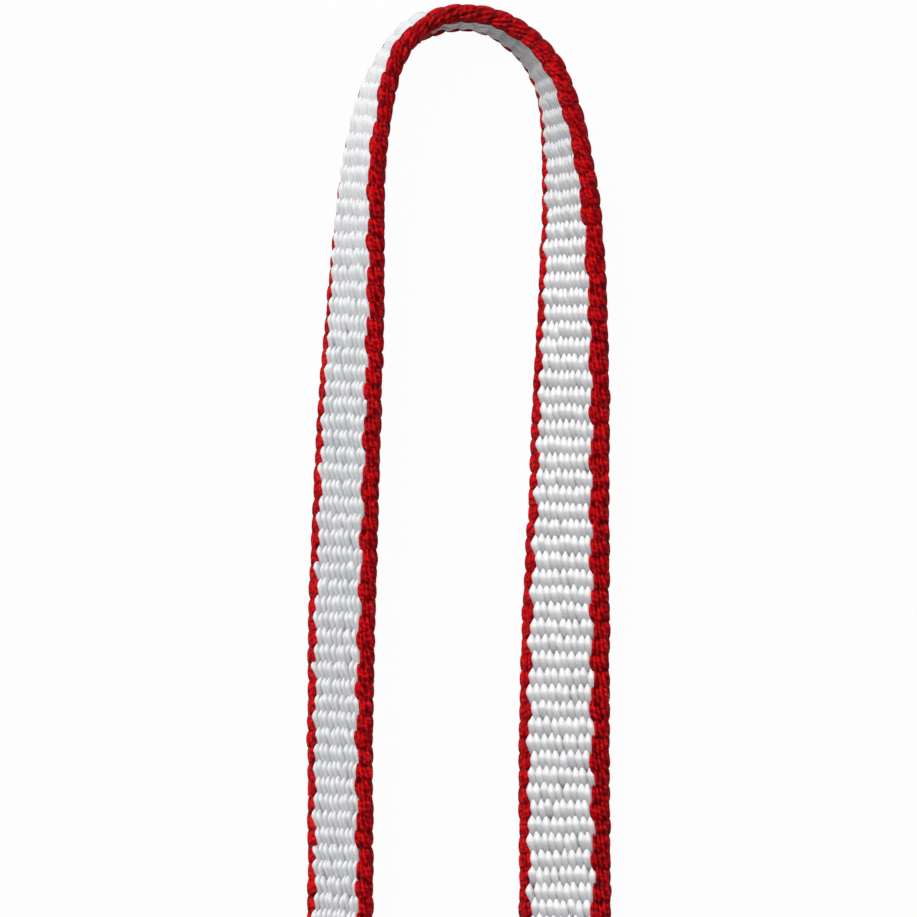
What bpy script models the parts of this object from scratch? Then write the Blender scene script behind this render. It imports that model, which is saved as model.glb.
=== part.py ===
# Sewn climbing sling: one flat woven strap, closed into a loop by a bar-tacked splice.
# It lies on a table, standing on its lower edge, with the spare length rolled up.
# Units are metres, +Z is up, and the origin is at the middle of the footprint.

import math

import bmesh
import bpy
import numpy as np
from mathutils import Vector

# Driving sizes of the strap
SLING_LENGTH = 0.600  # end to end, pulled straight, so the loop is twice this round
STRAP_WIDTH = 0.008
STRAP_THICKNESS = 0.0019
EDGE_CORD_WIDTH = 0.0008  # the coloured cord woven into each edge
BODY_THICKNESS = 0.0017  # the white weave between the two edge cords
CLEARANCE = 0.0003  # between pieces that touch
SEAT_CUT = 0.0004  # how deep a leaning edge is pressed flat on the table

# The splice: the two ends of the strap lie on each other and are sewn through
SPLICE_LENGTH = 0.040
TAIL_LENGTH = 0.0565  # from the roll to the outer end of the strap
TACK_COUNT = 4
TACK_LENGTH = 0.0026
TACK_SIDE_MARGIN = 0.0004  # from the side of the white weave to the bar tack
TACK_END_MARGIN = 0.0050  # from each end of the splice to the nearest bar tack's middle
TACK_HEIGHT = 0.0004
TACK_SEAT = 0.0002
THREAD_SIZE = 0.0004
THREAD_CLEARANCE = 0.00025
THREAD_ROWS = 2  # along the strap
THREAD_COLUMNS = 3  # across the strap
THREAD_INSET = 0.0004  # from the tack's rim to the outer threads

# The roll that holds the length that isn't laid out
ROLL_GAP = 0.00105  # air between one turn and the next
ROLL_EYE_RADIUS = 0.014  # to the middle of the innermost turn
STEPS_PER_TURN = 24
ROLL_ENTRY = (-0.0200, -0.1020)  # where the two legs meet and the roll begins

FREE_STEP = 0.0048  # the longest step along the laid-out stretches

# The laid-out stretch, as x and y of the middle of the strap, from the roll up the left leg,
# over the arch, down the right leg and back to the roll.
LAID_OUT_ROUTE = [
    (-0.0213, -0.0975),
    (-0.0202, -0.0900),
    (-0.0182, -0.0810),
    (-0.0156, -0.0710),
    (-0.0132, -0.0610),
    (-0.0115, -0.0510),
    (-0.01086, -0.0421),
    (-0.01083, -0.0313),
    (-0.01079, -0.0222),
    (-0.01061, -0.0130),
    (-0.01029, -0.0038),
    (-0.00991, 0.0054),
    (-0.00944, 0.0145),
    (-0.00903, 0.0228),
    (-0.00858, 0.0274),
    (-0.00787, 0.0315),
    (-0.00706, 0.0344),
    (-0.00615, 0.0365),
    (-0.00480, 0.0384),
    (-0.00292, 0.0398),
    (-0.00060, 0.04042),
    (0.00196, 0.0402),
    (0.00452, 0.0392),
    (0.00683, 0.0373),
    (0.00852, 0.0347),
    (0.00937, 0.0319),
    (0.01003, 0.0278),
    (0.01040, 0.0228),
    (0.01048, 0.0145),
    (0.01032, 0.0054),
    (0.01012, -0.0038),
    (0.00988, -0.0130),
    (0.00973, -0.0222),
    (0.00970, -0.0313),
    (0.00975, -0.0421),
    (0.0095, -0.0485),
    (0.0075, -0.0550),
    (0.0036, -0.0612),
    (-0.0017, -0.0674),
    (-0.0072, -0.0738),
    (-0.0120, -0.0804),
    (-0.0153, -0.0865),
    (-0.0173, -0.0920),
    (-0.01825, -0.0975),
]

# How far the upper edge stands outside the loop of the lower one at each of those points, as a
# share of the strap's width. Where it stands inside, the share is negative.
LEAN_SHARES = [
    -0.02, -0.13, -0.27, -0.42, -0.54, -0.60, -0.62, -0.62, -0.62, -0.64, -0.62, -0.59, -0.53,
    -0.43, -0.34, -0.30, -0.22, -0.14, -0.10, -0.05, 0.06, 0.10, 0.15, 0.19, 0.22, 0.28, 0.38,
    0.50, 0.645, 0.745, 0.79, 0.865, 0.905, 0.918, 0.918, 0.88, 0.68, 0.52, 0.40, 0.30, 0.20,
    0.11, 0.04, 0.01,
]

# Half sections, from the middle of the strap outwards. The body's points are shares of half its
# width and half its thickness; the cord's are shares of its width, from its inner face outwards,
# and of half the strap's thickness.
BODY_SECTION_SHARES = [(0.90, 1.0), (1.0, 0.72)]
CORD_SECTION_SHARES = [(0.0, 0.80), (0.50, 1.0), (1.0, 0.50)]

COLOURS = {
    "white_weave": (0.83, 0.85, 0.85, 1.0),
    "red_edge": (0.62, 0.015, 0.025, 1.0),
    "red_thread": (0.55, 0.01, 0.02, 1.0),
}
WEAVE_ROUGHNESS = 0.6
SHARP_ANGLE = math.radians(35)  # edges sharper than this are shaded as edges
MILLIMETRES = 1000  # in a metre, for what is printed

strand_pitch = STRAP_THICKNESS + ROLL_GAP
turn_pitch = 2 * strand_pitch
half_width = STRAP_WIDTH / 2
cord_inner_face = half_width - EDGE_CORD_WIDTH
body_half_width = cord_inner_face - CLEARANCE
tack_half_width = body_half_width - TACK_SIDE_MARGIN
layer_pitch = STRAP_THICKNESS + CLEARANCE
splice_start = TAIL_LENGTH - SPLICE_LENGTH


def clear_scene():
    for item in list(bpy.data.objects):
        bpy.data.objects.remove(item, do_unlink=True)


def material(name):
    made = bpy.data.materials.new(name)
    made.use_nodes = True
    shader = made.node_tree.nodes["Principled BSDF"]
    shader.inputs["Base Color"].default_value = COLOURS[name]
    shader.inputs["Roughness"].default_value = WEAVE_ROUGHNESS
    made.diffuse_color = COLOURS[name]
    return made


# The route


def polar(centre, radius, angle):
    return centre + radius * np.array([math.cos(angle), math.sin(angle)])


def roll_points(turns):
    # A strap wound up double from its far bight: two strands spiral in side by side, and
    # in the eye two half circles lead from the inner strand to the outer one.
    last = math.pi + 2 * math.pi * turns

    def pair_radius(angle):
        return ROLL_EYE_RADIUS + strand_pitch / 2 + turn_pitch * (last - angle) / (2 * math.pi)

    centre = np.array(ROLL_ENTRY) + np.array([pair_radius(math.pi), 0])
    angles = np.linspace(math.pi, last, math.ceil(STEPS_PER_TURN * turns) + 1)
    inner = [polar(centre, pair_radius(a) - strand_pitch / 2, a) for a in angles]
    bend_radius = ROLL_EYE_RADIUS / 2
    half_steps = STEPS_PER_TURN // 2
    out = np.array([math.cos(last), math.sin(last)])
    first_bend = [
        polar(centre + bend_radius * out, bend_radius, last + math.pi * k / half_steps)
        for k in range(1, half_steps)
    ]
    second_bend = [
        polar(centre - bend_radius * out, bend_radius, last - math.pi * k / half_steps)
        for k in range(1, half_steps)
    ]
    back = np.linspace(last + math.pi, last, half_steps + 1)[:-1]
    outer = [
        polar(centre, pair_radius(a) + strand_pitch / 2, a) for a in [*back, *angles[::-1]]
    ]
    return inner + first_bend + [centre] + second_bend + outer


def loop_knots(turns):
    # The whole loop, starting at the roll's outer strand; the last knot is next to the first.
    rolled = roll_points(turns)
    knots = [rolled[-1], *(np.array(point) for point in LAID_OUT_ROUTE), *rolled[:-1]]
    leans = [0.0, *LEAN_SHARES, *([0.0] * (len(rolled) - 1))]
    return np.array(knots), np.array(leans)


def smooth_loop(knots, leans, longest_step):
    # A closed smooth curve through the knots, read at even parts of each span.
    ahead = np.roll(knots, -1, axis=0)
    span = np.linalg.norm(ahead - knots, axis=1)
    slope = (ahead - knots) / span[:, None]
    span_before = np.roll(span, 1)
    slope_before = np.roll(slope, 1, axis=0)
    weighted = slope * span_before[:, None] + slope_before * span[:, None]
    tangent = weighted / (span + span_before)[:, None]
    points, leaning = [], []
    for i in range(len(knots)):
        j = (i + 1) % len(knots)
        parts = max(1, math.ceil(span[i] / longest_step))
        for part in range(parts):
            t = part / parts
            ease = t * t * (3 - 2 * t)
            start_pull = t * (1 - t) ** 2
            end_pull = -t * t * (1 - t)
            points.append(
                (1 - ease) * knots[i]
                + ease * knots[j]
                + span[i] * (start_pull * tangent[i] + end_pull * tangent[j])
            )
            leaning.append((1 - t) * leans[i] + t * leans[j])
    return np.array(points), np.array(leaning)


def loop_length(turns):
    points, _ = smooth_loop(*loop_knots(turns), FREE_STEP)
    return np.linalg.norm(np.roll(points, -1, axis=0) - points, axis=1).sum()


def turns_for(length):
    # The roll takes up whatever the laid-out stretch leaves.
    fewest, most = 0.5, 20.0
    while most - fewest > 1e-9:
        middle = (fewest + most) / 2
        if loop_length(middle) < length:
            fewest = middle
        else:
            most = middle
    return middle


def cord_section():
    # The edge cord's outline as (outward, across) points, for the upper edge.
    half = [
        (STRAP_THICKNESS / 2 * thick, cord_inner_face + EDGE_CORD_WIDTH * across)
        for across, thick in CORD_SECTION_SHARES
    ]
    return half + [(-outward, across) for outward, across in reversed(half)]


def body_section():
    half = [
        (BODY_THICKNESS / 2 * thick, body_half_width * across)
        for across, thick in BODY_SECTION_SHARES
    ]
    upper = half + [(-outward, across) for outward, across in reversed(half)]
    return upper + [(-outward, -across) for outward, across in upper]


class Route:
    # The strap's own axes at each station: along it, outwards from the loop, and across it.

    def __init__(self):
        turns = turns_for(2 * SLING_LENGTH)
        knots, leans = loop_knots(turns)
        points, leaning = smooth_loop(knots, leans, FREE_STEP)
        points = np.vstack([points, points[:1]])
        leaning = np.append(leaning, leaning[0])
        step = np.linalg.norm(np.diff(points, axis=0), axis=1)
        self.at = np.concatenate([[0.0], np.cumsum(step)])
        self.length = self.at[-1]
        self.points = points
        self.turns = turns
        laid_out = len(LAID_OUT_ROUTE) + 1
        roll_start = np.linalg.norm(points - knots[laid_out], axis=1).argmin()
        self.roll_start = self.at[roll_start]
        ring = np.vstack([points[-2:-1], points, points[1:2]])
        flat_along = ring[2:] - ring[:-2]
        flat_along /= np.linalg.norm(flat_along, axis=1)[:, None]
        flat_out = np.stack([-flat_along[:, 1], flat_along[:, 0]], axis=1)
        cosine = np.sqrt(1 - leaning**2)
        self.outward = np.column_stack([flat_out * cosine[:, None], -leaning])
        self.across = np.column_stack([flat_out * leaning[:, None], cosine])
        lowest = np.min(
            [
                outward * self.outward[:, 2] - across * self.across[:, 2]
                for outward, across in cord_section()
            ],
            axis=0,
        )
        height = -lowest - SEAT_CUT * np.abs(leaning)
        self.middle = np.column_stack([points, height])

    def place(self, along, outward, across):
        i = min(max(np.searchsorted(self.at, along, side="right") - 1, 0), len(self.at) - 2)
        f = (along - self.at[i]) / (self.at[i + 1] - self.at[i])
        ends = [
            self.middle[k] + outward * self.outward[k] + across * self.across[k]
            for k in (i, i + 1)
        ]
        return Vector((1 - f) * ends[0] + f * ends[1])

    def stations(self, start, end):
        inside = self.at[(self.at > start + CLEARANCE) & (self.at < end - CLEARANCE)]
        return [start, *inside, end]

    def least_gap(self):
        # Between any two stretches of the strap that aren't neighbours along it.
        count = math.ceil(self.length / (STRAP_THICKNESS / 2))
        even = np.linspace(0, self.length, count, endpoint=False)
        flat = np.column_stack([np.interp(even, self.at, self.points[:, k]) for k in (0, 1)])
        apart = np.abs(even[:, None] - even[None, :])
        apart = np.minimum(apart, self.length - apart)
        distance = np.linalg.norm(flat[:, None] - flat[None, :], axis=2)
        distance[apart < turn_pitch] = self.length
        return distance.min() - STRAP_THICKNESS


# Solids, made straight and then bent along the route. Straight means x along the strap,
# y outwards and z across it.


def tail_offset(along):
    # The tail lies on the outside of the other end, and comes back into line before the roll.
    t = min(max((along - CLEARANCE) / (splice_start - CLEARANCE), 0.0), 1.0)
    return layer_pitch * t * t * (3 - 2 * t)


def no_offset(along):
    return 0.0


def straight_solid(section, stations, offset):
    mesh = bmesh.new()
    ring = [mesh.verts.new((stations[0], y + offset(stations[0]), z)) for y, z in section]
    cap = mesh.faces.new(ring)
    for before, after in zip(stations[:-1], stations[1:]):
        grown = bmesh.ops.extrude_face_region(mesh, geom=[cap])["geom"]
        moved = [item for item in grown if isinstance(item, bmesh.types.BMVert)]
        step = Vector((after - before, offset(after) - offset(before), 0))
        bmesh.ops.translate(mesh, verts=moved, vec=step)
        old_cap = cap
        cap = next(item for item in grown if isinstance(item, bmesh.types.BMFace))
        if before != stations[0]:
            bmesh.ops.delete(mesh, geom=[old_cap], context="FACES_ONLY")
    bmesh.ops.recalc_face_normals(mesh, faces=mesh.faces)
    if mesh.calc_volume(signed=True) < 0:
        bmesh.ops.reverse_faces(mesh, faces=mesh.faces)
    return mesh


def add_box(mesh, low, high):
    size = Vector(high) - Vector(low)
    made = bmesh.ops.create_cube(mesh, size=1)["verts"]
    bmesh.ops.scale(mesh, verts=made, vec=size)
    bmesh.ops.translate(mesh, verts=made, vec=(Vector(high) + Vector(low)) / 2)


def object_from(name, mesh):
    data = bpy.data.meshes.new(name)
    mesh.to_mesh(data)
    mesh.free()
    made = bpy.data.objects.new(name, data)
    bpy.context.scene.collection.objects.link(made)
    return made


def combine(target, other, operation):
    # Joins or cuts with a helper object, which is then thrown away.
    step = target.modifiers.new(operation.lower(), "BOOLEAN")
    step.operation = operation
    step.solver = "EXACT"
    step.object = other
    view = bpy.context.evaluated_depsgraph_get()
    view.update()
    result = bpy.data.meshes.new_from_object(target.evaluated_get(view))
    target.modifiers.clear()
    target.data = result
    bpy.data.objects.remove(other, do_unlink=True)


def bend(target, route, floor=None):
    mesh = bmesh.new()
    mesh.from_mesh(target.data)
    bmesh.ops.triangulate(mesh, faces=mesh.faces)
    for vert in mesh.verts:
        vert.co = route.place(*vert.co)
        if floor is not None:
            vert.co.z = max(vert.co.z, floor)
    mesh.to_mesh(target.data)
    mesh.free()


def finish(target, finish_material):
    target.data.materials.clear()
    target.data.materials.append(finish_material)
    target.data.shade_smooth()
    target.data.set_sharp_from_angle(angle=SHARP_ANGLE)


def tack_places():
    first = splice_start + TACK_END_MARGIN
    last = TAIL_LENGTH - TACK_END_MARGIN
    return np.linspace(first, last, TACK_COUNT)


def thread_places(tack_middle):
    half_length = TACK_LENGTH / 2 - THREAD_INSET
    half_across = tack_half_width - THREAD_INSET
    for along in np.linspace(tack_middle - half_length, tack_middle + half_length, THREAD_ROWS):
        for across in np.linspace(-half_across, half_across, THREAD_COLUMNS):
            yield along, across


def thread_posts(middles, half_size, low, high):
    mesh = bmesh.new()
    for middle in middles:
        for along, across in thread_places(middle):
            add_box(
                mesh,
                (along - half_size, low, across - half_size),
                (along + half_size, high, across + half_size),
            )
    return mesh


def sewing_holes():
    hole_half = THREAD_SIZE / 2 + THREAD_CLEARANCE
    mesh = thread_posts(tack_places(), hole_half, -layer_pitch, 2 * layer_pitch)
    return object_from("sewing_holes", mesh)


def bar_tack(name, middle):
    # A pad of stitches on each face, joined by the threads that run through both layers.
    inner_face = -(BODY_THICKNESS / 2 + TACK_SEAT)
    outer_face = layer_pitch + BODY_THICKNESS / 2 + TACK_SEAT
    pads = bmesh.new()
    for low, high in (
        (inner_face - TACK_HEIGHT, inner_face),
        (outer_face, outer_face + TACK_HEIGHT),
    ):
        add_box(
            pads,
            (middle - TACK_LENGTH / 2, low, -tack_half_width),
            (middle + TACK_LENGTH / 2, high, tack_half_width),
        )
    tack = object_from(name, pads)
    reach = TACK_HEIGHT / 2
    posts = thread_posts([middle], THREAD_SIZE / 2, inner_face - reach, outer_face + reach)
    combine(tack, object_from("threads", posts), "UNION")
    return tack


def strap_stretch(place, start, end, offset, route, finishes):
    stations = route.stations(start, end)
    body = object_from("webbing_" + place, straight_solid(body_section(), stations, offset))
    if start < TAIL_LENGTH:
        combine(body, sewing_holes(), "DIFFERENCE")
    bend(body, route)
    finish(body, finishes["white_weave"])
    upper = object_from("upper_edge_" + place, straight_solid(cord_section(), stations, offset))
    bend(upper, route)
    finish(upper, finishes["red_edge"])
    mirrored = [(outward, -across) for outward, across in cord_section()]
    lower = object_from("lower_edge_" + place, straight_solid(mirrored, stations, offset))
    bend(lower, route, floor=0.0)
    finish(lower, finishes["red_edge"])
    return [body, upper, lower]


def centre_on_origin(pieces):
    corners = np.array([tuple(vert.co) for piece in pieces for vert in piece.data.vertices])
    low, high = corners.min(axis=0), corners.max(axis=0)
    middle = (low + high) / 2
    for piece in pieces:
        piece.location = (-middle[0], -middle[1], 0)
    print("footprint middle before centring, mm:", np.round(middle[:2] * MILLIMETRES, 3))
    print("size, mm:", np.round((high - low) * MILLIMETRES, 2))


def build():
    clear_scene()
    finishes = {name: material(name) for name in COLOURS}
    route = Route()
    pieces = []
    pieces += strap_stretch("tail", CLEARANCE, TAIL_LENGTH, tail_offset, route, finishes)
    pieces += strap_stretch("bight", splice_start, route.roll_start, no_offset, route, finishes)
    roll_from = route.roll_start + CLEARANCE
    pieces += strap_stretch("roll", roll_from, route.length, no_offset, route, finishes)
    for number, middle in enumerate(tack_places(), start=1):
        tack = bar_tack("bar_tack_" + str(number), middle)
        bend(tack, route)
        finish(tack, finishes["red_thread"])
        pieces.append(tack)
    centre_on_origin(pieces)
    print("loop length, mm:", round(route.length * MILLIMETRES, 2))
    print("double turns in the roll:", round(route.turns, 3))
    print("least gap between turns, mm:", round(route.least_gap() * MILLIMETRES, 3))


build()
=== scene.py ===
# Narrow sewn climbing sling: white webbing with red woven edges, laid out on its lower edge.
# Every yarn float is laid on a straight strap first, and then the strap is bent along its route.
import math

import bmesh
import bpy
import numpy as np
from mathutils import Matrix, Vector


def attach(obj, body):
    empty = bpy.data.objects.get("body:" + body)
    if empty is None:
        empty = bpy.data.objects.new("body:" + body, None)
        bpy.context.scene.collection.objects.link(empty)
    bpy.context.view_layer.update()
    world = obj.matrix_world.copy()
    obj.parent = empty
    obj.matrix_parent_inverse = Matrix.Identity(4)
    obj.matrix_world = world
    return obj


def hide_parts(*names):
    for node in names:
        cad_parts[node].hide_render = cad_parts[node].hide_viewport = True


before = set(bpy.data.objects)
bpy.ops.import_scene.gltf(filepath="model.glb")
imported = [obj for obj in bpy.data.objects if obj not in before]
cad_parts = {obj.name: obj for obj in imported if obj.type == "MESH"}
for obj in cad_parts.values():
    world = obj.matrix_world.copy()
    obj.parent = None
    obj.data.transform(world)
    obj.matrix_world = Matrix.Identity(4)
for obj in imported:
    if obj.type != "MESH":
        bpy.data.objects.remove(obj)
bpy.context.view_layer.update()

chance = np.random.default_rng(11)
millimetres = 1000  # in a metre; the attributes that the materials read are in millimetres

strap = {
    "halfWidth": 0.004,
    "halfThickness": 0.00095,
    "crestShare": 0.5,  # of the thickness, on the crest of an edge
    "crestRise": 0.0004,  # from where the strap has its full thickness
    "layerPitch": 0.0022,  # from one layer of the splice to the other
    "spliceStart": 0.0165,
    "tailLength": 0.0565,
    "seatCut": 0.0004,  # how far a leaning edge is pressed into the table's plane
    "step": 0.0007,  # along the route
}

# The roll of spare length: a double strand that spirals in and turns back in its eye
roll = {
    "entry": (-0.0200, -0.1020),
    "eyeRadius": 0.014,
    "strandPitch": 0.00295,
    "turns": 2.72207,
    "stepsPerTurn": 24,
}

footprintMiddle = (0.009612, -0.046458)

# The middle of the strap where it is laid out: up the left leg, over the arch, down the right leg
laidOutRoute = [
    (-0.0213, -0.0975),
    (-0.0202, -0.0900),
    (-0.0182, -0.0810),
    (-0.0156, -0.0710),
    (-0.0132, -0.0610),
    (-0.0115, -0.0510),
    (-0.01086, -0.0421),
    (-0.01083, -0.0313),
    (-0.01079, -0.0222),
    (-0.01061, -0.0130),
    (-0.01029, -0.0038),
    (-0.00991, 0.0054),
    (-0.00944, 0.0145),
    (-0.00903, 0.0228),
    (-0.00858, 0.0274),
    (-0.00787, 0.0315),
    (-0.00706, 0.0344),
    (-0.00615, 0.0365),
    (-0.00480, 0.0384),
    (-0.00292, 0.0398),
    (-0.00060, 0.04042),
    (0.00196, 0.0402),
    (0.00452, 0.0392),
    (0.00683, 0.0373),
    (0.00852, 0.0347),
    (0.00937, 0.0319),
    (0.01003, 0.0278),
    (0.01040, 0.0228),
    (0.01048, 0.0145),
    (0.01032, 0.0054),
    (0.01012, -0.0038),
    (0.00988, -0.0130),
    (0.00973, -0.0222),
    (0.00970, -0.0313),
    (0.00975, -0.0421),
    (0.0095, -0.0485),
    (0.0075, -0.0550),
    (0.0036, -0.0612),
    (-0.0017, -0.0674),
    (-0.0072, -0.0738),
    (-0.0120, -0.0804),
    (-0.0153, -0.0865),
    (-0.0173, -0.0920),
    (-0.01825, -0.0975),
]

# How far the upper edge stands outside the loop of the lower one, as a share of the width
leanShares = [
    -0.02, -0.13, -0.27, -0.42, -0.54, -0.60, -0.62, -0.62, -0.62, -0.64, -0.62, -0.59, -0.53,
    -0.43, -0.34, -0.30, -0.22, -0.14, -0.10, -0.05, 0.06, 0.10, 0.15, 0.19, 0.22, 0.28, 0.38,
    0.50, 0.645, 0.745, 0.79, 0.865, 0.905, 0.918, 0.918, 0.88, 0.68, 0.52, 0.40, 0.30, 0.20,
    0.11, 0.04, 0.01,
]


# Camera: straight down on the bight, from far away

cameraSettings = {
    "lens": 600.0,
    "sensor": 36.0,
    "seenWidth": 0.08413,
    "clipStart": 0.1,
    "clipEnd": 4.0,  # times its distance
}


def makeCamera():
    data = bpy.data.cameras.new("camera")
    data.lens = cameraSettings["lens"]
    data.sensor_width = cameraSettings["sensor"]
    distance = cameraSettings["seenWidth"] * data.lens / data.sensor_width
    data.clip_start = cameraSettings["clipStart"]
    data.clip_end = cameraSettings["clipEnd"] * distance
    camera = bpy.data.objects.new("camera", data)
    camera.location = (-footprintMiddle[0], -footprintMiddle[1], distance)
    bpy.context.scene.collection.objects.link(camera)
    bpy.context.scene.camera = camera


# The route


def polar(centre, radius, angle):
    return centre + radius * np.array([math.cos(angle), math.sin(angle)])


def rollPoints():
    last = math.pi + 2 * math.pi * roll["turns"]
    strand = roll["strandPitch"]

    def pairRadius(angle):
        return roll["eyeRadius"] + strand / 2 + 2 * strand * (last - angle) / (2 * math.pi)

    centre = np.array(roll["entry"]) + np.array([pairRadius(math.pi), 0])
    count = math.ceil(roll["stepsPerTurn"] * roll["turns"]) + 1
    angles = np.linspace(math.pi, last, count)
    inner = [polar(centre, pairRadius(a) - strand / 2, a) for a in angles]
    bendRadius = roll["eyeRadius"] / 2
    halfSteps = roll["stepsPerTurn"] // 2
    out = np.array([math.cos(last), math.sin(last)])
    firstBend = [
        polar(centre + bendRadius * out, bendRadius, last + math.pi * k / halfSteps)
        for k in range(1, halfSteps)
    ]
    secondBend = [
        polar(centre - bendRadius * out, bendRadius, last - math.pi * k / halfSteps)
        for k in range(1, halfSteps)
    ]
    back = np.linspace(last + math.pi, last, halfSteps + 1)[:-1]
    outer = [polar(centre, pairRadius(a) + strand / 2, a) for a in [*back, *angles[::-1]]]
    return inner + firstBend + [centre] + secondBend + outer


def smoothLoop(knots):
    # knots hold x, y and the lean; the curve through them is closed
    ahead = np.roll(knots, -1, axis=0)
    span = np.linalg.norm((ahead - knots)[:, :2], axis=1)
    slope = (ahead - knots) / span[:, None]
    spanBefore = np.roll(span, 1)
    slopeBefore = np.roll(slope, 1, axis=0)
    weighted = slope * spanBefore[:, None] + slopeBefore * span[:, None]
    tangent = weighted / (span + spanBefore)[:, None]
    points = []
    for i in range(len(knots)):
        j = (i + 1) % len(knots)
        parts = max(1, math.ceil(span[i] / strap["step"]))
        for part in range(parts):
            t = part / parts
            ease = t * t * (3 - 2 * t)
            pull = t * (1 - t) ** 2 * tangent[i] - t * t * (1 - t) * tangent[j]
            points.append((1 - ease) * knots[i] + ease * knots[j] + span[i] * pull)
    return np.array(points)


def makeRoute():
    rolled = rollPoints()
    upright = [(*point, 0.0) for point in rolled]
    laidOut = [(*point, lean) for point, lean in zip(laidOutRoute, leanShares)]
    points = smoothLoop(np.array([upright[-1], *laidOut, *upright[:-1]]))
    points = np.vstack([points, points[:1]])
    flat, sine = points[:, :2], points[:, 2]
    at = np.concatenate([[0.0], np.cumsum(np.linalg.norm(np.diff(flat, axis=0), axis=1))])
    rollStart = at[np.linalg.norm(flat - rolled[0], axis=1).argmin()]
    knots = [at[np.linalg.norm(flat - np.array(spot), axis=1).argmin()] for spot in laidOutRoute]
    ring = np.vstack([flat[-2:-1], flat, flat[1:2]])
    forward = ring[2:] - ring[:-2]
    forward /= np.linalg.norm(forward, axis=1)[:, None]
    sideways = np.stack([-forward[:, 1], forward[:, 0]], axis=1)
    cosine = np.sqrt(1 - sine**2)
    outward = np.column_stack([sideways * cosine[:, None], -sine])
    across = np.column_stack([sideways * sine[:, None], cosine])
    halfWidth, halfThickness = strap["halfWidth"], strap["halfThickness"]
    crest = (strap["crestShare"] * halfThickness, halfWidth)
    shoulder = (halfThickness, halfWidth - strap["crestRise"])
    reach = [abs(o * sine) + a * cosine for o, a in (crest, shoulder)]
    height = np.max(reach, axis=0) - strap["seatCut"] * np.abs(sine)
    middle = np.column_stack([flat - np.array(footprintMiddle), height])
    return {
        "at": at,
        "length": at[-1],
        "rollStart": rollStart,
        "knots": knots,
        "middle": middle,
        "outward": outward,
        "across": across,
    }


route = makeRoute()
strapStart = strap["spliceStart"]
strapEnd = route["length"] + strap["tailLength"]
print("route, mm:", round(route["length"] * millimetres, 1), "with the splice:",
      round((strapEnd - strapStart) * millimetres, 1))


# How the soft strap gives, at some of the route's points

flare = {  # the lower half leans out a little more on the left, and in on the right
    "depth": 0.0005,
    "spots": [7, 9, 11, 12, 13, 14, 15, 17, 18, 19, 20, 22, 24, 25, 26, 27, 28, 29, 30],
    "shares": [0, 0.2, 0.55, 0.7, 1.0, 1.0, 0.8, 0.7, 1.0, 1.1, -0.35,
               -0.5, -0.75, -0.75, -0.62, -0.35, -0.2, 0, 0],
}
tuck = {  # the lower edge is pressed in under the strap
    "depth": 0.00075,
    "start": 0.0028,
    "reach": 0.0008,
    "spots": [7, 9, 11, 12, 13, 15, 18, 19, 20, 21, 25, 26, 28],
    "shares": [0, 0.1, 0.35, 0.55, 1.0, 1.4, 1.4, 1.6, 0.1, -0.3, -0.25, 0, 0],
}


def shareAlong(give, along):
    # the spots are numbers of the route's points
    return np.interp(along, [route["knots"][k] for k in give["spots"]], give["shares"])


def place(along, outward, across):
    # from the straight strap to the real one; past the loop's length lies the tail
    lower = np.clip(-across / strap["halfWidth"], 0, 1)
    under = np.clip((-across - tuck["start"]) / tuck["reach"], 0, 1)
    outward = outward + flare["depth"] * shareAlong(flare, along) * lower
    outward = outward - tuck["depth"] * shareAlong(tuck, along) * under
    wrapped = along > route["length"]
    along = np.where(wrapped, along - route["length"], along)
    t = np.clip(along / strap["spliceStart"], 0, 1)
    outward = outward + np.where(wrapped, strap["layerPitch"] * t * t * (3 - 2 * t), 0)
    at = route["at"]
    i = np.clip(np.searchsorted(at, along, side="right") - 1, 0, len(at) - 2)
    f = ((along - at[i]) / (at[i + 1] - at[i]))[:, None]

    def spot(k):
        return (
            route["middle"][k]
            + outward[:, None] * route["outward"][k]
            + across[:, None] * route["across"][k]
        )

    placed = (1 - f) * spot(i) + f * spot(i + 1)
    placed[:, 2] = np.maximum(placed[:, 2], 0)  # pressed flat on the table
    return placed


# Meshes


def newObject(name, mesh):
    made = bpy.data.objects.new(name, mesh)
    bpy.context.scene.collection.objects.link(made)
    return made


def meshFrom(name, mesh):
    # the mesh of a bmesh, which is freed
    data = bpy.data.meshes.new(name)
    mesh.to_mesh(data)
    mesh.free()
    return data


def positionsOf(mesh):
    flat = np.empty(3 * len(mesh.vertices))
    mesh.vertices.foreach_get("co", flat)
    return flat.reshape(-1, 3)


def setPositions(mesh, positions):
    mesh.vertices.foreach_set("co", positions.astype(np.float32).ravel())
    mesh.update()


def setAttribute(mesh, name, values):
    kind = "FLOAT_VECTOR" if values.ndim == 2 else "FLOAT"
    made = mesh.attributes.new(name, kind, "POINT")
    made.data.foreach_set("vector" if values.ndim == 2 else "value",
                          values.astype(np.float32).ravel())


def finishPiece(piece, material):
    piece.data.materials.clear()
    piece.data.materials.append(material)
    piece.data.shade_smooth()
    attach(piece, "root")
    return piece


halfBall = {
    "places": [0, 0.03, 0.117, 0.25, 0.413, 0.587, 0.75, 0.883, 0.97, 1],  # of its rings
    "cutReach": 1e-5,
    "sharpAngle": 1.2,
    "poleReach": 1e-4,
}
fine = {"sides": 12, "rings": 9}
slim = {"sides": 8, "rings": 7}
plain = {"sides": 8, "rings": 6}
long = {"sides": 8, "rings": 10}


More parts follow.
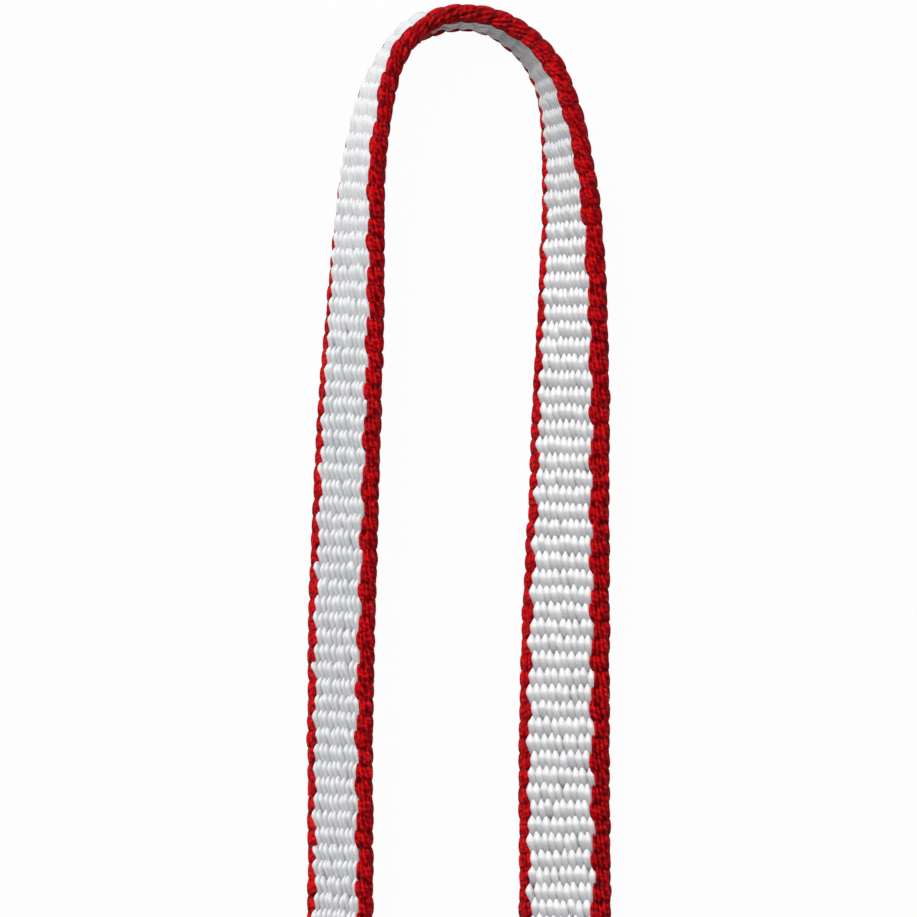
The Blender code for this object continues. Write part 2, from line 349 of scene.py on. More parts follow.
def floatMesh(name, kind, fineness):
    # half a ball with its poles at the float's ends, reshaped by the tables of its kind
    mesh = bmesh.new()
    turn = Matrix.Rotation(math.pi / 2, 4, "Y")
    bmesh.ops.create_uvsphere(
        mesh, u_segments=fineness["sides"], v_segments=fineness["rings"], radius=1, matrix=turn
    )
    geometry = mesh.verts[:] + mesh.edges[:] + mesh.faces[:]
    bmesh.ops.bisect_plane(
        mesh, geom=geometry, dist=halfBall["cutReach"],
        plane_co=(0, 0, 0), plane_no=(0, 0, 1), clear_inner=True,
    )
    rim = [line for line in mesh.edges if line.is_boundary]
    bmesh.ops.edgeloop_fill(mesh, edges=rim)
    bmesh.ops.recalc_face_normals(mesh, faces=mesh.faces)
    for line in mesh.edges:
        if line.calc_face_angle(0) > halfBall["sharpAngle"]:
            line.smooth = False
    for vert in mesh.verts:
        ring = math.hypot(vert.co.y, vert.co.z)
        side, up = 0, 0
        if ring > halfBall["poleReach"]:
            side, up = vert.co.y / ring, max(vert.co.z / ring, 0)
        u = np.interp((1 + vert.co.x) / 2, halfBall["places"], kind["at"])
        width, height, fullness = (
            np.interp(u, kind["at"], kind[key]) for key in ("widths", "heights", "fullness")
        )
        vert.co = (u, side * width, up ** fullness * height)
    return meshFrom(name, mesh)


def rowOfCopies(name, template, count):
    made = newObject(name, template)
    row = made.modifiers.new("row", "ARRAY")
    row.count = count
    row.use_relative_offset = False
    row.use_constant_offset = True
    row.constant_offset_displace = (0, 1, 0)
    view = bpy.context.evaluated_depsgraph_get()
    view.update()
    mesh = bpy.data.meshes.new_from_object(made.evaluated_get(view))
    made.modifiers.clear()
    made.data = mesh
    mesh.name = name
    return made


# The white weave: rows of floats on both faces, three rows to a repeat

weave = {
    "rowPitch": 0.001514,
    "phase": -0.0004,
    "columnPitch": 0.000735,
    # floats in a row, and the row's middle towards the upper edge
    "rows": [(9, -0.00012), (8, 0.0), (9, 0.00012)],
    "innerShift": -0.00015,  # all rows of the inner face, and of the outer one
    "outerShift": 0.00012,
    "foot": 0.00036,  # where the floats start, from the strap's middle plane
    "tipLead": 0.00045,  # how far a tip reaches over the row before it
    # the tails beside the border of red and white bend towards the next row's border
    "follow": 0.6,
    "straighten": 0.0001,
    "bendStart": 0.4,
    "leastWidth": 0.01,  # share of a float's half width, where its crevices are shaded
    "lengthSpread": 0.05,
    "widthSpread": 0.06,
    "heightSpread": 0.06,
    "rowSpread": 0.00006,
}

# Tables of a float's shape and painted shade run from its tip to its tail, at the shares under
# "at":
# a painted highlight at the tip, painted shade towards the tail and in the crevices beside it.
# Where the strap is seen along its face the floats lie smoother, at some of the route's points,
# and there a flat painted shade is blended over theirs.
innerFloat = {
    "length": 0.00230,
    "halfWidth": 0.00041,
    "height": 0.00050,
    "at": [0, 0.03, 0.10, 0.22, 0.36, 0.46, 0.62, 0.80, 0.95, 1],
    "widths": [0, 0.16, 0.42, 0.76, 1.0, 1.03, 0.98, 0.94, 0.9, 0.6],
    "heights": [0.08, 0.14, 0.36, 0.70, 1.0, 0.92, 0.46, 0.25, 0.12, 0.03],
    "fullness": [1.0, 1.0, 1.0, 0.8, 0.6, 0.4, 0.32, 0.3, 0.4, 0.5],
    # painted highlight at the tip, painted shade towards the tail
    "paintedShades": [1, 1, 1, 1, 0.97, 0.80, 0.56, 0.30, 0.05, 0.05],
    # painted shade in the crevices beside each float
    "creviceShade": 0.34,
    "creviceShadeForm": 4,
    "slant": 0.13,
    "slantSpread": 0.05,
    "columnSpread": 0.00004,
    "smooth": {"spots": [14, 18, 23, 25, 28], "shares": [0, 1, 1, 0.5, 0]},
    # flat painted shade over the smoother floats of the inner face, which faces away from the
    # lamp
    "smoothShade": 0.42,
    "smoothBlend": 1,
    "smoothHeight": 0.5,
    "smoothRise": 0.35,
}
outerFloat = {
    "length": 0.00230,
    "halfWidth": 0.00039,
    "height": 0.00056,
    "at": [0, 0.03, 0.10, 0.22, 0.36, 0.48, 0.64, 0.80, 0.95, 1],
    "widths": [0, 0.10, 0.38, 0.76, 1.0, 1.0, 1.0, 0.98, 0.9, 0.4],
    "heights": [0.1, 0.18, 0.50, 0.88, 1.0, 0.76, 0.46, 0.27, 0.12, 0.03],
    "fullness": [1.1, 1.1, 1.1, 1.0, 0.9, 0.7, 0.5, 0.45, 0.5, 0.5],
    # painted highlight at the tip, painted shade towards the tail
    "paintedShades": [0.80, 0.86, 0.90, 0.92, 0.86, 0.75, 0.63, 0.48, 0.22, 0.15],
    # painted shade in the crevices beside each float
    "creviceShade": 0.5,
    "creviceShadeForm": 1.2,
    "slant": 0.07,
    "slantSpread": 0.12,
    "columnSpread": 0.00005,
    "smooth": {"spots": [11, 13, 15, 23, 29], "shares": [0, 0.6, 1, 1, 0]},
    # flat painted shade over the smoother floats of the outer face
    "smoothShade": 0.85,
    "smoothBlend": 0.5,
    "smoothHeight": 0.55,
    "smoothRise": 0.38,
}


def rowAlong(row):
    # where a row of floats begins
    return strapStart + weave["phase"] + row * weave["rowPitch"]


def rowNear(along):
    # the row that begins nearest to a place
    return round((along - rowAlong(0)) / weave["rowPitch"])


def rowMiddles(start, end):
    # number and place of each row of floats between the two ends
    rows = np.arange(rowNear(start), rowNear(end))
    return list(zip(rows, rowAlong(rows + 0.5)))


def rowLayout(row, face):
    # the two faces run through the three kinds of row in opposite order
    count, middle = weave["rows"][(row + 1) % 3 if face < 0 else (2 - row) % 3]
    return count, middle + weave["outerShift" if face > 0 else "innerShift"]


def whiteEnd(row, face, side):
    # how far a row's white floats reach towards the upper edge (1) or the lower one (-1)
    count, shift = rowLayout(row, face)
    return side * shift + count / 2 * weave["columnPitch"]


def borderBend(row, face, side):
    # how far the tails at one end of a row bend outwards
    step = whiteEnd(row - face, face, side) - whiteEnd(row, face, side)
    return weave["follow"] * step - side * weave["straighten"]


def bendAlong(u):
    # the share of the bend at a place between tip and tail
    return (np.maximum(u - weave["bendStart"], 0) / (1 - weave["bendStart"])) ** 2


def setYarn(mesh, along, across, paintedShades, number):
    # coordinates on each yarn, with a random value for the yarn, and its painted shade
    paintedShades = np.broadcast_to(paintedShades, (number, paintedShades.shape[-1]))
    setAttribute(mesh, "yarn", np.column_stack([
        along.ravel() * millimetres, across.ravel() * millimetres,
        np.repeat(chance.random(number), paintedShades.shape[-1]),
    ]))
    setAttribute(mesh, "paintedShade", paintedShades.ravel())


def paintedShadesOf(kind, u, v):
    # painted highlight at the tip and on the ridge, painted shade at the tail and in the crevices
    # beside a yarn
    width = np.maximum(np.interp(u, kind["at"], kind["widths"]), weave["leastWidth"])
    aside = np.abs(v / width) ** kind["creviceShadeForm"]
    return np.interp(u, kind["at"], kind["paintedShades"]) * (1 - kind["creviceShade"] * aside)


def whiteFloats(name, kind, fineness, face, start, end, material):
    template = floatMesh(name + "Shape", kind, fineness)
    u, v, h = positionsOf(template).T
    pitch, columnPitch = weave["rowPitch"], weave["columnPitch"]
    rowAt, columnAt, bend = [], [], []
    for row, middle in rowMiddles(start, end):
        count, shift = rowLayout(row, face)
        rowAt += [middle] * count
        bend += [-borderBend(row, face, -1), *[0] * (count - 2), borderBend(row, face, 1)]
        columnAt += list((np.arange(count) - (count - 1) / 2) * columnPitch + shift)
    rowAt, columnAt = np.array(rowAt), np.array(columnAt)
    number = len(rowAt)
    jitter = chance.normal(0, 1, (number, 6))
    length = (kind["length"] * (1 + weave["lengthSpread"] * jitter[:, 0]))[:, None]
    halfWidth = (kind["halfWidth"] * (1 + weave["widthSpread"] * jitter[:, 1]))[:, None]
    height = (kind["height"] * (1 + weave["heightSpread"] * jitter[:, 2]))[:, None]
    slant = (kind["slant"] + kind["slantSpread"] * jitter[:, 3])[:, None]
    columnAt = (columnAt + kind["columnSpread"] * jitter[:, 4])[:, None]
    rowAt = (rowAt + weave["rowSpread"] * jitter[:, 5])[:, None]
    smooth = shareAlong(kind["smooth"], rowAt)
    rise = kind["smoothRise"] * smooth * height
    height = height * (1 + (kind["smoothHeight"] - 1) * smooth)
    direction = -face  # the tips of the two faces point opposite ways
    along = rowAt - direction * (pitch / 2 + weave["tipLead"] - u * length)
    across = columnAt + v * halfWidth + slant * (along - rowAt) * direction
    across = across + np.array(bend)[:, None] * bendAlong(u)
    outward = face * (weave["foot"] + rise + h * height)
    piece = rowOfCopies(name, template, number)
    setPositions(piece.data, place(along.ravel(), outward.ravel(), across.ravel()))
    # painted shade of each float, with a flat painted shade blended in where the floats lie
    # smoother
    blend = kind["smoothBlend"] * smooth
    paintedShades = paintedShadesOf(kind, u, v) * (1 - blend) + kind["smoothShade"] * blend
    setYarn(piece.data, u * length, v * halfWidth, paintedShades, number)
    print(name, number, "floats")
    return finishPiece(piece, material)


# The red edge: rows of narrow floats side by side round the rim, in step with the white ones

edge = {
    "rimMiddle": 0.00307,  # across the strap, where the rim's round begins
    "roundOut": 0.00061,
    "roundAcross": 0.00118,
    "arcSteps": 360,
    "columnPitch": 0.00037,
    "overlap": 1.15,
    "sink": 0.00020,  # of the floats' feet below the rim
    "tipLead": 0.00022,
    "slant": 0.08,
    "rimSlant": 0.24,
    "rimLead": 0.00015,  # the rows lie less askew over the rim than on its two faces
    # painted shade: the floats over the rim darker than those on the faces, and the upper edge's
    # red painted a little darker than the lower one's
    "rimShade": 0.80,
    "sideShades": {1: 0.90, -1: 1.03},  # of the upper edge and the lower one
    "turnSpeed": 1.5,  # how soon the rows of one face turn into those of the other
    "lengthSpread": 0.06,
    "widthSpread": 0.08,
    "heightSpread": 0.07,
    "slantSpread": 0.06,
    "rowSpread": 0.00008,
}
redFloat = {
    "length": 0.00190,
    "height": 0.00050,
    "at": halfBall["places"],
    "widths": [0, 0.26, 0.55, 0.85, 1.0, 1.0, 0.97, 0.85, 0.55, 0.2],
    "heights": [0.40, 0.58, 0.80, 0.95, 1.0, 0.98, 0.90, 0.76, 0.56, 0.36],
    "fullness": [0.6] * 10,
    # painted highlight towards the tip, painted shade towards the tail
    "paintedShades": [0.8, 0.95, 1.0, 1.0, 0.92, 0.76, 0.56, 0.40, 0.30, 0.28],
    # painted shade in the crevices beside each float
    "creviceShade": 0.2,
    "creviceShadeForm": 3,
}


def edgeArc():
    # angle from the outer face, and length of arc, round the edge's section
    angles = np.linspace(-math.pi / 4, 5 * math.pi / 4, edge["arcSteps"] + 1)
    spots = np.stack([edge["roundOut"] * np.cos(angles), edge["roundAcross"] * np.sin(angles)])
    steps = np.linalg.norm(np.diff(spots, axis=1), axis=0)
    return angles, np.concatenate([[0.0], np.cumsum(steps)])


def redColumns(side, start, end):
    # the floats of every row, spaced evenly round the rim from one face's white to the other's
    arcAngles, arc = edgeArc()
    angles, arcAt, rowAt, halfWidths, turned, bend = [], [], [], [], [], []
    for row, middle in rowMiddles(start, end):
        ends = []
        for face in (1, -1):
            reach = whiteEnd(row, face, side) - edge["rimMiddle"]
            ends.append(math.asin(reach / edge["roundAcross"]))
        span = np.interp([ends[0], math.pi - ends[1]], arcAngles, arc)
        columns = round((span[1] - span[0]) / edge["columnPitch"])
        width = (span[1] - span[0]) / columns
        spots = span[0] + (np.arange(columns) + 0.5) * width
        angles += list(np.interp(spots, arc, arcAngles))
        arcAt += list(spots)
        rowAt += [middle] * columns
        halfWidths += [width / 2 * edge["overlap"]] * columns
        turned += list(1 - 2 * (np.arange(columns) + 0.5) / columns)
        outer, inner = side * borderBend(row, 1, side), side * borderBend(row, -1, side)
        bend += [outer, outer / 2, *[0] * (columns - 4), inner / 2, inner]
    return [np.array(values) for values in (angles, arcAt, rowAt, halfWidths, turned, bend)]


def redFloats(name, fineness, side, start, end, material):
    template = floatMesh(name + "Shape", redFloat, fineness)
    u, v, h = positionsOf(template).T
    angles, arcAt, rowAt, halfWidths, turned, bend = redColumns(side, start, end)
    number = len(rowAt)
    jitter = chance.normal(0, 1, (number, 5))
    length = (redFloat["length"] * (1 + edge["lengthSpread"] * jitter[:, 0]))[:, None]
    halfWidths = (halfWidths * (1 + edge["widthSpread"] * jitter[:, 1]))[:, None]
    height = (redFloat["height"] * (1 + edge["heightSpread"] * jitter[:, 2]))[:, None]
    slant = edge["slant"] + (edge["rimSlant"] - edge["slant"]) * np.abs(np.sin(angles))
    slant = (slant + edge["slantSpread"] * jitter[:, 3])[:, None]
    rowAt = (rowAt + edge["rowSpread"] * jitter[:, 4])[:, None]
    turned = turned[:, None]  # 1 on the outer face, -1 on the inner one
    direction = np.where(turned > 0, -1, 1)  # the tips of the two faces point opposite ways
    out, up = edge["roundOut"], edge["roundAcross"]
    normal = np.column_stack([np.cos(angles) / out, side * np.sin(angles) / up])
    normal /= np.linalg.norm(normal, axis=1)[:, None]
    foot = np.column_stack([
        out * np.cos(angles), side * (edge["rimMiddle"] + up * np.sin(angles))
    ]) - edge["sink"] * normal
    sideways = np.column_stack([normal[:, 1], -normal[:, 0]]) * direction
    lead = np.clip(edge["turnSpeed"] * turned, -1, 1)
    lead = lead * (weave["rowPitch"] / 2 + edge["tipLead"] - redFloat["length"] / 2)
    lead = lead - edge["rimLead"] * np.sin(math.pi * turned)
    run = (u - 0.5) * length
    along = rowAt + lead + direction * run
    lateral = v * halfWidths + slant * run + bend[:, None] * bendAlong(u)
    lift = h * height
    outward = foot[:, :1] + lateral * sideways[:, :1] + lift * normal[:, :1]
    across = foot[:, 1:] + lateral * sideways[:, 1:] + lift * normal[:, 1:]
    piece = rowOfCopies(name, template, number)
    setPositions(piece.data, place(along.ravel(), outward.ravel(), across.ravel()))
    # painted shade: darker over the rim, at each float's tail and in its crevices, with a painted
    # highlight at its tip
    columnShades = edge["rimShade"] + (1 - edge["rimShade"]) * np.abs(np.cos(angles))
    paintedShades = edge["sideShades"][side] * columnShades[:, None] * paintedShadesOf(redFloat, u, v)
    setYarn(piece.data, u * length, v * halfWidths, paintedShades, number)
    aroundRim = arcAt[:, None] - side * direction * lateral
    rimSpot = np.stack([along, aroundRim, np.zeros_like(along)], axis=-1).reshape(-1, 3)
    setAttribute(piece.data, "rimSpot", rimSpot * millimetres)
    print(name, number, "floats")
    return finishPiece(piece, material)


# The core that the yarns are woven round: one unbroken band from end to end of the strap

core = {
    "halfThickness": 0.00034,
    "rimShare": 0.80,  # of the edge's own rim
    "step": 0.0008,
    "rimSteps": 6,
    "weld": 1e-6,
}


def coreSection():
    points = []
    for k in range(core["rimSteps"] + 1):
        angle = math.pi * k / core["rimSteps"]
        points.append((
            core["halfThickness"] * math.cos(angle),
            edge["rimMiddle"] + edge["roundAcross"] * core["rimShare"] * math.sin(angle),
        ))
    return points + [(-outward, -across) for outward, across in points]


def makeCore(material):
    # a flat grid, rolled up into a tube, welded along its seam and closed at its ends
    start, end = rowAlong(rowNear(strapStart)), rowAlong(rowNear(strapEnd))
    steps = math.ceil((end - start) / core["step"])
    section = np.array([*coreSection(), coreSection()[0]])
    mesh = bmesh.new()
    bmesh.ops.create_grid(mesh, x_segments=steps, y_segments=len(section) - 1, size=0.5)
    for vert in mesh.verts:
        outward, across = section[round((0.5 - vert.co.y) * (len(section) - 1))]
        vert.co = (start + (vert.co.x + 0.5) * (end - start), outward, across)
    bmesh.ops.remove_doubles(mesh, verts=mesh.verts, dist=core["weld"])
    rims = [line for line in mesh.edges if line.is_boundary]
    bmesh.ops.holes_fill(mesh, edges=rims, sides=len(section))
    bmesh.ops.recalc_face_normals(mesh, faces=mesh.faces)
    band = newObject("strapCore", meshFrom("strapCore", mesh))
    straight = positionsOf(band.data)
    setAttribute(band.data, "strapSpot", straight * millimetres)
    setPositions(band.data, place(*straight.T))
    finishPiece(band, material)
    stations = np.linspace(start, end, steps + 1)
    path = place(stations, np.zeros(len(stations)), np.zeros(len(stations)))
    print("core", steps, "steps")
    return band, path


# The bar tacks: a block of stitches on each face of the splice

tack = {
    "count": 4,
    "length": 0.0026,
    "halfWidth": 0.0025,
    "endMargin": 0.0050,
    "seat": 0.00085,  # where the pad starts, from the layer's middle plane
    "padHeight": 0.00022,
    "stitches": 15,
    "zigzag": 0.00022,
    "wobble": 0.00002,
    "oddRise": 0.18,  # of a stitch's height, on every second stitch
}
stitch = {
    "halfWidth": 0.00013,
    "height": 0.00022,
    "at": halfBall["places"],
    "widths": [0, 0.50, 0.90, 1.0, 1.0, 1.0, 1.0, 0.90, 0.50, 0],
    "heights": [0, 0.55, 0.90, 1.0, 1.0, 1.0, 1.0, 0.90, 0.55, 0],
    "fullness": [0.8] * 10,
    # painted shade towards both ends of a stitch, where it dives into the webbing
    "paintedShades": [0.3, 0.5, 0.8, 1.0, 1.0, 1.0, 1.0, 0.8, 0.5, 0.3],
    # painted shade beside each stitch
    "creviceShade": 0.5,
    "creviceShadeForm": 3,
}


def makeTack(number, middle, material):
    name = "barTack" + str(number)
    template = floatMesh(name + "Shape", stitch, long)
    u, v, h = positionsOf(template).T
    stitches = []
    for face, level in ((-1, 0.0), (1, strap["layerPitch"])):
        reach = tack["length"] / 2 - stitch["halfWidth"]
        for index, offset in enumerate(np.linspace(-reach, reach, tack["stitches"])):
            odd = index % 2
            wobble = chance.normal(0, tack["wobble"], 2)
            along = middle + offset + wobble[0] + v * stitch["halfWidth"]
            along = along + (odd - 0.5) * 2 * tack["zigzag"] * (u - 0.5)
            across = -face * (2 * u - 1) * (tack["halfWidth"] + wobble[1])
            lift = tack["padHeight"] + (h + tack["oddRise"] * odd) * stitch["height"]
            stitches.append((along, level + face * (tack["seat"] + lift), across, v))
    piece = rowOfCopies(name, template, len(stitches))
    along, outward, across, sides = (np.concatenate(item) for item in zip(*stitches))
    setPositions(piece.data, place(along, outward, across))
    # painted shade of each stitch
    paintedShades = paintedShadesOf(stitch, u, v)
    setYarn(piece.data, across, sides * stitch["halfWidth"], paintedShades, len(stitches))
    return finishPiece(piece, material)


# Materials


def nodeMaterial(name):
    made = bpy.data.materials.new(name)
    made.use_nodes = True
    tree = made.node_tree
    return made, tree, tree.nodes["Principled BSDF"]


def link(tree, source, target):
    tree.links.new(source, target)


fibrePattern = {  # lengths in millimetres
    "yarnsApart": 60.0,  # in the noise, so that no two yarns are alike
    "roughness": 0.55,
    "streakDetail": 2.0,
    "blotchAlong": 2.6,
    "blotchAcross": 3.4,
    "blotchDetail": 1.0,
    "loopSize": (0.36, 0.66, 1),
    "loopTurn": (0, 0, 0.5),
    "loopRandomness": 0.9,
    "loopLevel": 0.42,
    "blotchLevel": 0.5,
}


def makeFibreGroup():
    # fine filaments that run along each yarn, and a shade that differs from yarn to yarn
    group = bpy.data.node_groups.new("yarnFilaments", "ShaderNodeTree")
    for name in ("Across Scale", "Along Scale", "Mottle", "Loops"):
        group.interface.new_socket(name, in_out="INPUT", socket_type="NodeSocketFloat")
    for name in ("Streaks", "Relief", "Variation", "Painted Shade And Mottle"):
        group.interface.new_socket(name, in_out="OUTPUT", socket_type="NodeSocketFloat")
    nodes = group.nodes
    given = nodes.new("NodeGroupInput")
    result = nodes.new("NodeGroupOutput")
    yarn = nodes.new("ShaderNodeAttribute")
    yarn.attribute_name = "yarn"
    # the painted shade laid on each float
    paintedShade = nodes.new("ShaderNodeAttribute")
    paintedShade.attribute_name = "paintedShade"
    parts = nodes.new("ShaderNodeSeparateXYZ")
    link(group, yarn.outputs["Vector"], parts.inputs[0])

    def calculate(operation, a, b):
        node = nodes.new("ShaderNodeMath")
        node.operation = operation
        link(group, a, node.inputs[0])
        if isinstance(b, float):
            node.inputs[1].default_value = b
        else:
            link(group, b, node.inputs[1])
        return node.outputs[0]

    def noiseOf(along, across, detail):
        stretched = nodes.new("ShaderNodeCombineXYZ")
        link(group, along, stretched.inputs[0])
        link(group, across, stretched.inputs[1])
        apart = calculate("MULTIPLY", parts.outputs["Z"], fibrePattern["yarnsApart"])
        link(group, apart, stretched.inputs[2])
        noise = nodes.new("ShaderNodeTexNoise")
        noise.inputs["Scale"].default_value = 1.0
        noise.inputs["Detail"].default_value = detail
        noise.inputs["Roughness"].default_value = fibrePattern["roughness"]
        link(group, stretched.outputs[0], noise.inputs["Vector"])
        return noise.outputs["Fac"]

    streaks = noiseOf(
        calculate("MULTIPLY", parts.outputs["X"], given.outputs["Along Scale"]),
        calculate("MULTIPLY", parts.outputs["Y"], given.outputs["Across Scale"]),
        fibrePattern["streakDetail"],
    )
    blotches = noiseOf(
        calculate("MULTIPLY", parts.outputs["X"], fibrePattern["blotchAlong"]),
        calculate("MULTIPLY", parts.outputs["Y"], fibrePattern["blotchAcross"]),
        fibrePattern["blotchDetail"],
    )
    # small loops of yarn that cross the rim, where a surface has a rimSpot
    rimSpot = nodes.new("ShaderNodeAttribute")
    rimSpot.attribute_name = "rimSpot"
    stretch = nodes.new("ShaderNodeMapping")
    stretch.vector_type = "TEXTURE"
    stretch.inputs["Scale"].default_value = fibrePattern["loopSize"]
    stretch.inputs["Rotation"].default_value = fibrePattern["loopTurn"]
    link(group, rimSpot.outputs["Vector"], stretch.inputs["Vector"])
    cells = nodes.new("ShaderNodeTexVoronoi")
    cells.voronoi_dimensions = "2D"
    cells.inputs["Scale"].default_value = 1.0
    cells.inputs["Randomness"].default_value = fibrePattern["loopRandomness"]
    link(group, stretch.outputs["Vector"], cells.inputs["Vector"])
    fromMiddle = calculate("SUBTRACT", cells.outputs["Distance"], fibrePattern["loopLevel"])
    loops = calculate("MULTIPLY", fromMiddle, given.outputs["Loops"])
    patches = calculate("SUBTRACT", blotches, fibrePattern["blotchLevel"])
    mottled = calculate("MULTIPLY", patches, given.outputs["Mottle"])
    link(group, streaks, result.inputs["Streaks"])
    link(group, calculate("SUBTRACT", streaks, loops), result.inputs["Relief"])
    link(group, parts.outputs["Z"], result.inputs["Variation"])
    # painted shade with random mottling; the loops darken it towards each loop's border, a
    # painted shade in the grooves between the loops, and also give the bump
    shadeAndMottle = calculate("ADD", paintedShade.outputs["Fac"], mottled)
    link(group, calculate("SUBTRACT", shadeAndMottle, loops), result.inputs["Painted Shade And Mottle"])
    return group


def ramp(tree, source, stops):
    node = tree.nodes.new("ShaderNodeValToRGB")
    while len(node.color_ramp.elements) < len(stops):
        node.color_ramp.elements.new(0.5)
    for element, (position, colour) in zip(node.color_ramp.elements, stops):
        element.position = position
        element.color = (*colour, 1)
    link(tree, source, node.inputs["Fac"])
    return node.outputs["Color"]


def mixColours(tree, blend, fac, first, second):
    node = tree.nodes.new("ShaderNodeMix")
    node.data_type = "RGBA"
    node.blend_type = blend
    if isinstance(fac, float):
        node.inputs["Factor"].default_value = fac
    else:
        link(tree, fac, node.inputs["Factor"])
    for socket, value in (("A", first), ("B", second)):
        target = [item for item in node.inputs if item.name == socket and item.type == "RGBA"][0]
        if isinstance(value, tuple):
            target.default_value = (*value, 1)
        else:
            link(tree, value, target)
    return [item for item in node.outputs if item.type == "RGBA"][0]


def yarnMaterial(name, finish, fibres):
    made, tree, shader = nodeMaterial(name)
    group = tree.nodes.new("ShaderNodeGroup")
    group.node_tree = fibres
    for socket, key in (
        ("Across Scale", "acrossScale"), ("Along Scale", "alongScale"),
        ("Mottle", "mottle"), ("Loops", "loops"),
    ):
        group.inputs[socket].default_value = finish[key]
    # colour from the painted shade and the random mottling
    byShadeAndMottle = ramp(tree, group.outputs["Painted Shade And Mottle"], finish["shadeAndMottleColours"])
    byYarn = ramp(tree, group.outputs["Variation"], finish["yarnColours"])
    # filament grain, its lighter lines also a painted glint of the glossy fibres
    byStreakAndGlint = ramp(tree, group.outputs["Streaks"], finish["streakAndGlintColours"])
    colour = mixColours(tree, "MULTIPLY", 1.0, byShadeAndMottle, byYarn)
    colour = mixColours(tree, "MULTIPLY", 1.0, colour, byStreakAndGlint)
    link(tree, colour, shader.inputs["Base Color"])
    shader.inputs["Roughness"].default_value = finish["roughness"]
    shader.inputs["Specular IOR Level"].default_value = finish["specular"]
    shader.inputs["Sheen Weight"].default_value = finish["sheen"]
    shader.inputs["Sheen Roughness"].default_value = finish["sheenRoughness"]
    bump = tree.nodes.new("ShaderNodeBump")
    bump.inputs["Strength"].default_value = finish["bump"]
    bump.inputs["Distance"].default_value = finish["bumpDistance"]
    link(tree, group.outputs["Relief"], bump.inputs["Height"])
    link(tree, bump.outputs["Normal"], shader.inputs["Normal"])
    return made


whiteFinish = {
    "acrossScale": 14.0,
    "alongScale": 1.1,
    "mottle": 0.12,
    "loops": 0,
    # painted shade: dark grey in the shaded parts up to white where a float faces the lamp
    "shadeAndMottleColours": [
        (0.0, (0.14, 0.14, 0.14)), (0.18, (0.30, 0.30, 0.31)), (0.40, (0.53, 0.54, 0.55)),
        (0.60, (0.70, 0.71, 0.72)), (0.85, (0.96, 0.96, 0.96)), (1.0, (0.99, 0.99, 0.99)),
    ],
    "yarnColours": [(0.0, (0.94, 0.94, 0.95)), (1.0, (1.0, 1.0, 1.0))],
    # filament grain with a painted glint along each filament
    "streakAndGlintColours": [(0.35, (0.88, 0.88, 0.89)), (0.65, (1.0, 1.0, 1.0))],
    "roughness": 0.40,
    "specular": 0.5,
    "sheen": 0.1,
    "sheenRoughness": 0.4,
    "bump": 0.4,
    "bumpDistance": 0.00004,
}
redFinish = {
    "acrossScale": 8.0,
    "alongScale": 2.4,
    "mottle": 1.4,
    "loops": 1.4,
    # painted shade: dark maroon in the shaded parts up to bright red where a float faces the lamp
    "shadeAndMottleColours": [
        (0.0, (0.20, 0.0004, 0.005)), (0.50, (0.45, 0.0006, 0.006)), (1.0, (0.84, 0.006, 0.008)),
    ],
    "yarnColours": [(0.0, (0.68, 0.68, 0.68)), (1.0, (1.0, 1.0, 1.0))],
    # filament grain with a painted glint along each filament
    "streakAndGlintColours": [(0.35, (0.85, 0.85, 0.85)), (0.65, (1.0, 1.0, 1.0))],
    "roughness": 0.45,
    "specular": 0.08,
    "sheen": 0.0,
    "sheenRoughness": 0.4,
    "bump": 1.0,
    "bumpDistance": 0.00010,
}
threadFinish = {
    **redFinish, "acrossScale": 22.0, "alongScale": 2.0, "loops": 0.0, "roughness": 0.5,
}


coreFinish = {
    "edgeFrom": 2.85,  # mm across the strap, where the white ends and the red begins
    "edgeTo": 2.95,
    "patchScale": 1.7,
    "patchDetail": 1.0,
    # painted shade: dark grey in the slits between the floats, with patches of red weft
    "between": [
        (0.0, (0.16, 0.16, 0.17)), (0.52, (0.20, 0.19, 0.20)), (0.60, (0.22, 0.05, 0.08)),
    ],
    # painted shade: dark maroon under the red edges
    "underEdgeShade": (0.09, 0.002, 0.006),
    "roughness": 0.7,
}


def coreMaterial():
    # dark grey painted shade where the core shows between the white floats, with a thread of red
    # here and there, and a darker maroon painted shade under the edges
    made, tree, shader = nodeMaterial("wovenCore")
    spot = tree.nodes.new("ShaderNodeAttribute")
    spot.attribute_name = "strapSpot"
    parts = tree.nodes.new("ShaderNodeSeparateXYZ")
    link(tree, spot.outputs["Vector"], parts.inputs[0])
    distance = tree.nodes.new("ShaderNodeMath")
    distance.operation = "ABSOLUTE"
    link(tree, parts.outputs["Z"], distance.inputs[0])
    edgeMask = tree.nodes.new("ShaderNodeMapRange")
    edgeMask.inputs["From Min"].default_value = coreFinish["edgeFrom"]
    edgeMask.inputs["From Max"].default_value = coreFinish["edgeTo"]
    link(tree, distance.outputs[0], edgeMask.inputs["Value"])
    noise = tree.nodes.new("ShaderNodeTexNoise")
    noise.inputs["Scale"].default_value = coreFinish["patchScale"]
    noise.inputs["Detail"].default_value = coreFinish["patchDetail"]
    link(tree, spot.outputs["Vector"], noise.inputs["Vector"])
    between = ramp(tree, noise.outputs["Fac"], coreFinish["between"])
    mask = edgeMask.outputs["Result"]
    colour = mixColours(tree, "MIX", mask, between, coreFinish["underEdgeShade"])
    link(tree, colour, shader.inputs["Base Color"])
    shader.inputs["Roughness"].default_value = coreFinish["roughness"]
    return made


# Stage and light

light = {
    "ambient": 0.24,  # the camera sees the world as plain white
    "lamps": [
        # name, place, size, watts
        ("keyLamp", (-0.50, 0.65, 0.85), 0.45, 10.7),
        ("fillLamp", (0.45, 0.10, 1.00), 0.70, 0.9),
    ],
}


stage = {
    "halfSide": 2.0,
    "drop": 0.00005,
    "colour": (0.65, 0.65, 0.65),
    "glow": 0.97,  # the rest of what is seen is the lit floor with the shadows
}


